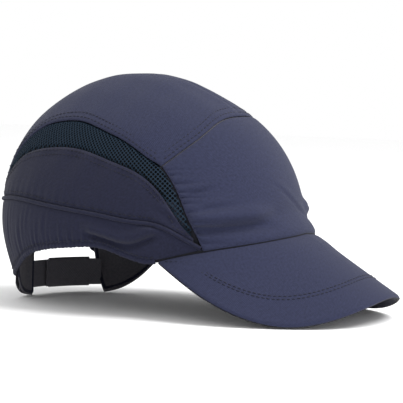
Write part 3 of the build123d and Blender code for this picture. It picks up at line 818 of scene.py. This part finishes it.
def piping_and_binding(side, sign, hem):
    azimuth = np.linspace(PIPED_SEAM[0][0], REAR_END, 240)
    path, out = crown_row(sign * azimuth, piped_seam(azimuth) - 0.4, 0.1)
    # painted shade: the piping is drawn in the darkened navy
    tube(f"piping_cloth_{side}", path, out, PIPING_ROLL, shaded_navy, f"piping_{side}", ripple=0.05)
    start = next(i / 1000 for i in range(1001) if hem(i / 1000)[0] >= BINDING_START_AZIMUTH)
    u = start + (1 - start) * np.linspace(0, 1, 420)
    edge_azimuth, edge_elevation = below_hem(hem, u, 0.45)
    path, out = crown_row(sign * edge_azimuth, edge_elevation, -0.45)
    # painted shade: the hem roll is drawn in the darkened navy binding
    tube(f"hem_roll_{side}", path, out, HEM_ROLL, bound, f"hem_binding_{side}", ripple=0.09)


# ---- peak ----

def peak_surface():
    """The ruled surface from the crown's seam to the free edge, as a function of u and distance in."""
    corner_azimuth = PEAK_CORNER_AZIMUTH
    corner = crown_point(corner_azimuth, peak_seam(corner_azimuth))
    right = [np.array([-x, y, z]) for x, y, z in PEAK_EDGE[:0:-1]]
    left = [np.array([x, y, z]) for x, y, z in PEAK_EDGE]
    outline = [corner] + right + left + [corner * np.array([-1, 1, 1])]
    travel = travel_along(np.array(outline))
    edge = curve_through(travel / travel[-1], outline)

    def ends(u):
        azimuth = (1 - 2 * u) * corner_azimuth
        elevation = peak_seam(azimuth)
        root = crown_point(azimuth, elevation, brow_flare(azimuth, elevation))
        return root, np.stack(edge(u), -1)

    return ends


def peak_grid(ends, inset, drop, fold=0.0):
    """A layer of the peak: drop below the top surface, its rim drawn in and turned down by fold."""
    margin = 0.002 + inset / 170
    u = margin + (1 - 2 * margin) * steps(300, 2)
    root, edge = ends(u)
    length = np.linalg.norm(edge - root, axis=-1)[:, None]
    v = np.concatenate([np.linspace(0, 0.93, 44), 1 - 0.07 * (1 - ease(np.linspace(0.08, 1, 12)) ** 0.8)])
    start = -2.6 / length
    share = start + (1 - start - inset / length) * v[None, :]
    grid = root[:, None] * (1 - share[..., None]) + edge[:, None] * share[..., None]
    normal = np.cross(np.gradient(grid, axis=0), np.gradient(grid, axis=1))
    normal /= np.linalg.norm(normal, axis=-1, keepdims=True)
    normal *= np.where(normal[..., 2:] > 0, 1, -1)
    out = (1 - share) * length
    side_out = np.minimum(u, 1 - u)[:, None] * 330
    near = np.minimum(out, side_out)
    down = fold * np.exp(-(np.clip(near, 0, None) / 1.2) ** 2)
    root_dip = 0.6 * np.exp(-((share * length) / 1.3) ** 2)
    belly = 0.55 * hump(share * length, 9, 7) if fold else 0
    return grid - normal * (drop + down + (root_dip if fold else 0) - belly)[..., None], normal


def peak_edge(ends, u):
    """The free edge, the ways in and up from it, and the length of the peak at each u."""
    root, edge = ends(u)
    length = np.linalg.norm(edge - root, axis=-1)[:, None]
    inward = (root - edge) / length
    up = np.cross(np.gradient(edge, axis=0), inward)
    up *= np.sign(up[:, 2:])
    up /= np.linalg.norm(up, axis=1, keepdims=True)
    return edge, inward, up, length


def peak():
    ends = peak_surface()
    outer, normal = peak_grid(ends, 0.1, 0.0, fold=0.8)
    inner = outer - normal * 0.9
    top = slab("peak_top_cloth", outer, inner, peak_cloth)
    on_cap(top, "peak_top_cover")
    cloth_sheet(outer)
    under_outer, under_normal = peak_grid(ends, 1.6, 2.85)
    under_inner = under_outer - under_normal * 0.9
    # painted shade: the peak's underside is drawn in the darkened navy
    under = slab("peak_under_cloth", under_outer, under_inner, shaded_navy)
    on_cap(under, "peak_under_cover")
    cloth_sheet(under_outer)
    u = np.linspace(0.004, 0.996, 300)
    edge, inward, up, _ = peak_edge(ends, u)
    # painted shade: a near-black roll under the peak's free edge stands in for the shade along the edge
    rim_path = edge + inward * 1.3 - up * 1.9
    tube("peak_rim", rim_path, up, PEAK_RIM, groove_shade, sides=12)
    # painted shade: a near-black roll sunk in the brow seam darkens its groove
    azimuth = np.linspace(-PEAK_CORNER_AZIMUTH - 1.2, PEAK_CORNER_AZIMUTH + 1.2, 260)
    elevation = peak_seam(azimuth)
    path, out = crown_row(azimuth, elevation, brow_flare(azimuth, elevation) - 1.5)
    tube("brow_seam", path, out, BROW_SEAM, groove_shade)
    # painted shade: near-black rolls sunk in the front panel's side seams darken them
    for side, sign in (("right", 1), ("left", -1)):
        elevation = np.linspace(-10.5, 25, 90)
        path, out = crown_row(sign * (front_panel_side(elevation) + 0.5), elevation, -2.2)
        tube(f"front_seam_shade_{side}", path, out, SEAM_SHADE_ROLL, groove_shade)
    rows = []
    edge, inward, up, length = peak_edge(ends, u[(u > 0.02) & (u < 0.98)])
    for distance in (20.5, 23.0):
        reach = np.minimum(distance, length * 0.8)
        rows.append((edge + inward * reach + up * 0.1, up))
    stitching("peak_stitches", rows, thread)


# ---- stitches of the crown ----

def crown_stitches():
    rows = []
    azimuth = np.linspace(-60, 60, 140)
    for offset in (2.2, 5.2):
        rows.append(crown_row(azimuth, front_seam(np.abs(azimuth)) + offset, 0.05))
    azimuth = np.linspace(158, 202, 50)
    back = np.minimum(azimuth, 360 - azimuth)
    for offset in (2.0, 4.6, -2.0):
        rows.append(crown_row(azimuth, rear_seam(back) + offset, 0.05))
    for sign in (1, -1):
        azimuth = np.linspace(63, 155, 150)
        for offset in (1.9, 4.4):
            rows.append(crown_row(sign * azimuth, mesh_top(azimuth) + offset, 0.05))
        azimuth = np.linspace(56, 156, 150)
        for offset in (1.7, 4.0):
            rows.append(crown_row(sign * azimuth, mesh_bottom(azimuth) - offset, 0.1))
        azimuth = np.linspace(50, 178, 200)
        rows.append(crown_row(sign * azimuth, piped_seam(azimuth) + 2.0, 0.05))
    stitching("crown_stitches", rows, thread)
    rows = []
    for sign, hem in ((1, right_hem), (-1, left_hem)):
        u = np.linspace(0.12, 0.99, 400)
        edge_azimuth, edge_elevation = below_hem(hem, u, -1.4)
        rows.append(crown_row(sign * edge_azimuth, edge_elevation, 0.45))
    stitching("hem_stitches", rows, thread)


# ---- inner parts ----

def tape(name, node, azimuth, elevation):
    outer, inner = [crown_point(azimuth, elevation, -depth) for depth in TAPE_DEPTHS]
    thing = slab(name, outer, inner, charcoal)
    on_cap(thing, node)
    cloth_sheet(outer)


def tapes():
    azimuth = np.linspace(-61, 61, 90)[:, None] + np.zeros(8)
    elevation = front_seam(np.abs(azimuth)) + np.linspace(-3.4, 3.4, 8)[None, :]
    tape("front_tape", "front_seam_tape", azimuth, elevation)
    low = float(elevation_at(180, 56))
    azimuth = np.linspace(176.6, 183.4, 8)[:, None] + np.zeros(16)
    elevation = np.zeros((8, 1)) + np.linspace(low, 11, 16)[None, :]
    tape("rear_tape", "rear_seam_tape", azimuth, elevation)


def pad(name, node, azimuth, elevation, soft=0.0):
    """A foam pad with rounded edges and a shallow stitched channel round it."""
    near = edge_distance(crown_point(azimuth, elevation, -8))
    bulge = 1 - np.exp(-((near / 2.6) ** 2))
    channel = 0.9 * hump(near, 6.0, 1.0)
    inner = crown_point(azimuth, elevation, -PAD_DEPTHS[1] - PAD_BULGE * bulge + channel + soft)
    outer = crown_point(azimuth, elevation, -PAD_DEPTHS[0] - 1.6 * (1 - bulge))
    thing = slab(name, outer, inner, foam)
    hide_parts(node)
    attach(thing, "cap")


def cushion(name, node, start, end, low, high, sign=1):
    """A pad between two azimuths and two elevations."""
    width, length = (end - start) * 1.35, (high - low) * 1.45
    u, v = steps(width, 1.2), steps(length, 1.2)
    azimuth = sign * (start + (end - start) * u)[:, None] + 0 * v
    elevation = (low + (high - low) * v)[None, :] + 0 * azimuth
    pad(name, node, azimuth, elevation, 0.25 * np.sin(azimuth / 2.3) * np.sin(elevation / 2.9))


def crown_cushion():
    """The pad over the top, square about the vertical axis."""
    u = np.tan(np.radians(15)) * (2 * steps(44, 1.3) - 1)
    v = np.tan(np.radians(24)) * (2 * steps(72, 1.3) - 1)
    direction = np.stack(np.broadcast_arrays(u[:, None], v[None, :], np.ones((len(u), len(v)))), -1)
    azimuth, elevation = angles_of(direction)
    pad("crown_cushion", "crown_pad", azimuth, elevation)


def sweatband():
    ear = spline([(azimuth, height) for azimuth, height, _ in RIGHT_HEM if azimuth <= 141])
    u, v = steps(330, 1.6), steps(30, 1.2)
    azimuth = (-137 + 274 * u)[:, None] + 0 * v
    turn = np.abs(azimuth)
    join = ease((turn - 52) / 14)
    over_brow = peak_seam_height(np.minimum(turn, PEAK_CORNER_AZIMUTH))
    height = over_brow * (1 - join) + ear(np.maximum(turn, 50)) * join
    low = elevation_at(azimuth, height + 1.5)
    elevation = low + (12 - low) * v[None, :]
    near = edge_distance(crown_point(azimuth, elevation))
    swell = 1 - np.exp(-((near / 2.2) ** 2))
    outer = crown_point(azimuth, elevation, -2.9 - 0.6 * (1 - swell))
    inner = crown_point(azimuth, elevation, -4.1 - 0.8 * swell + 0.5 * hump(near, 4.5, 0.8))
    thing = slab("sweatband_cloth", outer, inner, towelling)
    on_cap(thing, "sweatband")
    cloth_sheet(inner)


# ---- wings and strap ----

def strap_point(angle, radius, height):
    turn = np.radians(angle)
    x, y = STRAP_AXIS[0] + radius * np.sin(turn), STRAP_AXIS[1] + radius * np.cos(turn)
    return np.stack(np.broadcast_arrays(x, y, height), -1)


def left_wing():
    foot = spline(LEFT_WING_FOOT)
    u, v = steps(58, 0.9), steps(44, 0.9)
    azimuth = (110 + 34.4 * u)[:, None] + 0 * v
    low, high = elevation_at(azimuth, foot(azimuth)), elevation_at(azimuth, LEFT_WING_TOP)
    elevation = low + (high - low) * v[None, :]
    settle = ease(edge_distance(crown_point(azimuth, elevation)) / 4)
    out = 0.3 * np.sin(azimuth / 2.6 + elevation / 9) * settle - LEFT_WING_DEPTH
    outer, inner = thin_edges(crown_point(-azimuth, elevation, out),
                              crown_point(-azimuth, elevation, out - WING_CLOTH))
    thing = slab("wing_cloth_left", outer, inner, charcoal)
    on_cap(thing, "wing_left")
    cloth_sheet(outer)
    edge = crown_point(-azimuth[:, 0], elevation_at(azimuth[:, 0], foot(azimuth[:, 0]) + 2.2), -2.1)
    rise = crown_point(np.full(30, -143.4), elevation_at(np.full(30, 143.4), np.linspace(2.5, 40, 30)), -2.1)
    path = resampled(np.concatenate([edge[:-4], rise[1:]]), 200)
    # painted shade: the edge roll is drawn in the darkened navy binding
    tube("wing_edge_left", path, path - CROWN_CENTRE, LEFT_WING_ROLL, bound, ripple=0.05)


def right_wing_grid(u, v, extra):
    """The right wing's inner face, or a face the extra distance outside it."""
    radius = HOOK_RADIUS - WING_GAP - WING_CLOTH
    foot, top = spline(RIGHT_WING_FOOT), spline(RIGHT_WING_TOP)
    plan = []
    for x, y in RIGHT_WING_PLAN:
        way = np.array([x - STRAP_AXIS[0], y - STRAP_AXIS[1]])
        plan.append(np.array([x, y]) + way / np.linalg.norm(way) * extra)
    for i in range(5):
        plan.append(strap_point(-25 + 25 * i / 4, radius + extra, 0.0)[:2])
    places = [i / (len(plan) - 1) for i in range(len(plan))]
    x, y = [part[:, None] + 0 * v for part in curve_through(places, plan)(u)]
    z = foot(u)[:, None] * (1 - v) + top(u)[:, None] * v
    return np.stack([x, y, z], -1)


def right_wing():
    u, v = steps(62, 0.9), steps(44, 0.9)
    wave = 0.25 * np.sin(u * 26)[:, None] * np.sin(v * 5)[None, :]
    way = right_wing_grid(u, v, WING_CLOTH) - right_wing_grid(u, v, 0.0)
    inner = right_wing_grid(u, v, 0.0) + way * wave[..., None]
    outer, inner = thin_edges(inner + way, inner)
    thing = slab("wing_cloth_right", outer, inner, charcoal)
    on_cap(thing, "wing_right")
    cloth_sheet(outer)
    bottom = right_wing_grid(np.linspace(0.02, 1, 60), np.array([0.03]), 0.5)[:, 0]
    mouth = right_wing_grid(np.array([1.0]), np.linspace(0.05, 0.97, 40), 0.5)[0]
    path = resampled(np.concatenate([bottom, mouth[1:]]), 220)
    path[:, 2] += 1.0
    out = path - np.array([*STRAP_AXIS, 0])
    out[:, 2] = 0
    out /= np.linalg.norm(out, axis=1, keepdims=True)
    # painted shade: the edge roll is drawn in the darkened navy binding
    tube("wing_edge_right", path, out, RIGHT_WING_ROLL, bound, ripple=0.05)


def strap_band(name, angles, radius, thickness, width, grid=0.9):
    """A woven band standing on edge along an arc; width is a function of the angle."""
    length = math.radians(angles[1] - angles[0]) * radius
    u, v = steps(length, grid), steps(19, grid)
    angle = angles[0] + (angles[1] - angles[0]) * u
    wide = width(angle)[:, None]
    height = STRAP_MIDDLE + (v[None, :] - 0.5) * wide
    outer = strap_point(angle[:, None], radius + thickness, height)
    inner = strap_point(angle[:, None], radius, height)
    outer, inner = thin_edges(outer, inner, 0.8, 0.45)
    return slab(name, outer, inner, webbing), outer


def strap():
    u, v = steps(25, 0.8), steps(38, 0.8)
    angle = -19 + 19 * u
    foot = spline(RIGHT_WING_FOOT)((3 + 4 * (angle + 25) / 25) / 7)
    height = (foot + 0.4)[:, None] * (1 - v) + 40 * v
    inner, outer = [strap_point(angle[:, None], radius, height) for radius in POCKET_RADII]
    outer, inner = thin_edges(outer, inner)
    cover = slab("pocket_cloth", outer, inner, charcoal)
    on_cap(cover, "pocket_cover")
    cloth_sheet(outer)
    loop, grid = strap_band("loop_webbing", LOOP_ANGLES, LOOP_RADIUS, LOOP_THICKNESS,
                            lambda angle: STRAP_WIDTH + 0 * angle)
    on_cap(loop, "loop_strap")
    cloth_sheet(grid)

    def width(angle):
        return STRAP_WIDTH + (TAB_WIDTH - STRAP_WIDTH) * ease((angle - 15.2) / 0.8)

    hook, grid = strap_band("hook_webbing", HOOK_ANGLES, HOOK_RADIUS, HOOK_THICKNESS, width, grid=0.7)
    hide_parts("hook_strap", "hook_tab")
    cloth_sheet(grid)
    start = strap_point(13.0, 73.7, STRAP_MIDDLE) * MM
    end = strap_point(18.0, 73.7, STRAP_MIDDLE) * MM
    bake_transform(hook)
    rows = []
    for angle in (46.4, 47.8):
        height = np.linspace(STRAP_BOTTOM + 1, STRAP_BOTTOM + STRAP_WIDTH - 1, 20)
        path = strap_point(angle, 71.95, height)
        rows.append((path, path - np.array([*STRAP_AXIS, 0])))
    stitching("strap_stitches", rows, dark_thread)


# ---- CAD nodes that stay ----

def repaint(node, material):
    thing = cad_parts[node]
    thing.data.materials.clear()
    thing.data.materials.append(material)


# ---- build ----

right_hem, left_hem = hem_curve(RIGHT_HEM), hem_curve(LEFT_HEM)
front_panel()
crown_panel()
for side, sign, hem in (("right", 1, right_hem), ("left", -1, left_hem)):
    net_panel(side, sign)
    side_panel(side, sign)
    lower_panel(side, sign, hem)
    piping_and_binding(side, sign, hem)
    cushion(f"side_cushion_{side}", f"side_pad_{side}", 64, 116, 16, 36, sign)
peak()
crown_stitches()
tapes()
cushion("brow_cushion", "brow_pad", -46, 46, 9, 27)
cushion("rear_cushion", "rear_pad", 138, 222, 12, 30)
crown_cushion()
sweatband()
left_wing()
right_wing()
strap()
repaint("protective_shell", shell_plastic)
repaint("peak_board", board)
repaint("hook_pad", hook_tape)


# ---- floor, light and camera ----

floor_material, _ = base_material("floor", FLOOR_COLOUR, 0.9, specular=0.1)
floor_corners = [(x * FLOOR_REACH, y * FLOOR_REACH, 0) for x, y in ((-1, -1), (1, -1), (1, 1), (-1, 1))]
floor = make_mesh("floor", floor_corners, [(0, 1, 2, 3)], floor_material, smooth=False)

world = bpy.data.worlds.new("studio")
bpy.context.scene.world = world
world.use_nodes = True
background = world.node_tree.nodes["Background"].inputs
background["Color"].default_value = (1.0, 1.0, 1.0, 1.0)
background["Strength"].default_value = 1.0
bpy.context.scene.view_settings.view_transform = "Standard"


def soft_light(name, place, size, watts):
    """A square soft light aimed at the middle of the cap."""
    lamp = bpy.data.lights.new(name, "AREA")
    lamp.energy = watts
    lamp.size = size
    thing = bpy.data.objects.new(name, lamp)
    bpy.context.scene.collection.objects.link(thing)
    thing.location = place
    aim = Vector((0, 0, 0.06)) - Vector(place)
    thing.rotation_euler = aim.to_track_quat("-Z", "Y").to_euler()


soft_light("light_top", (0.1, -0.9, 1.4), 1.0, 26)
soft_light("light_front", (-1.1, -1.3, 0.45), 0.7, 5)

camera = bpy.data.objects.new("camera", bpy.data.cameras.new("camera"))
bpy.context.scene.collection.objects.link(camera)
camera.data.lens = LENS
camera.data.sensor_width = 36
backwards = Vector(CAMERA_BACKWARDS).normalized()
roll = math.radians(CAMERA_ROLL)
across = Vector(CAMERA_ACROSS).normalized()
upwards = backwards.cross(across)
right_way = across * math.cos(roll) + upwards * math.sin(roll)
up_way = upwards * math.cos(roll) - across * math.sin(roll)
turn = Matrix((right_way, up_way, backwards)).transposed()
place = Vector(CAMERA_AIM) + backwards * CAMERA_DISTANCE
camera.matrix_world = Matrix.Translation(place) @ turn.to_4x4()
bpy.context.scene.camera = camera

bpy.context.view_layer.update()
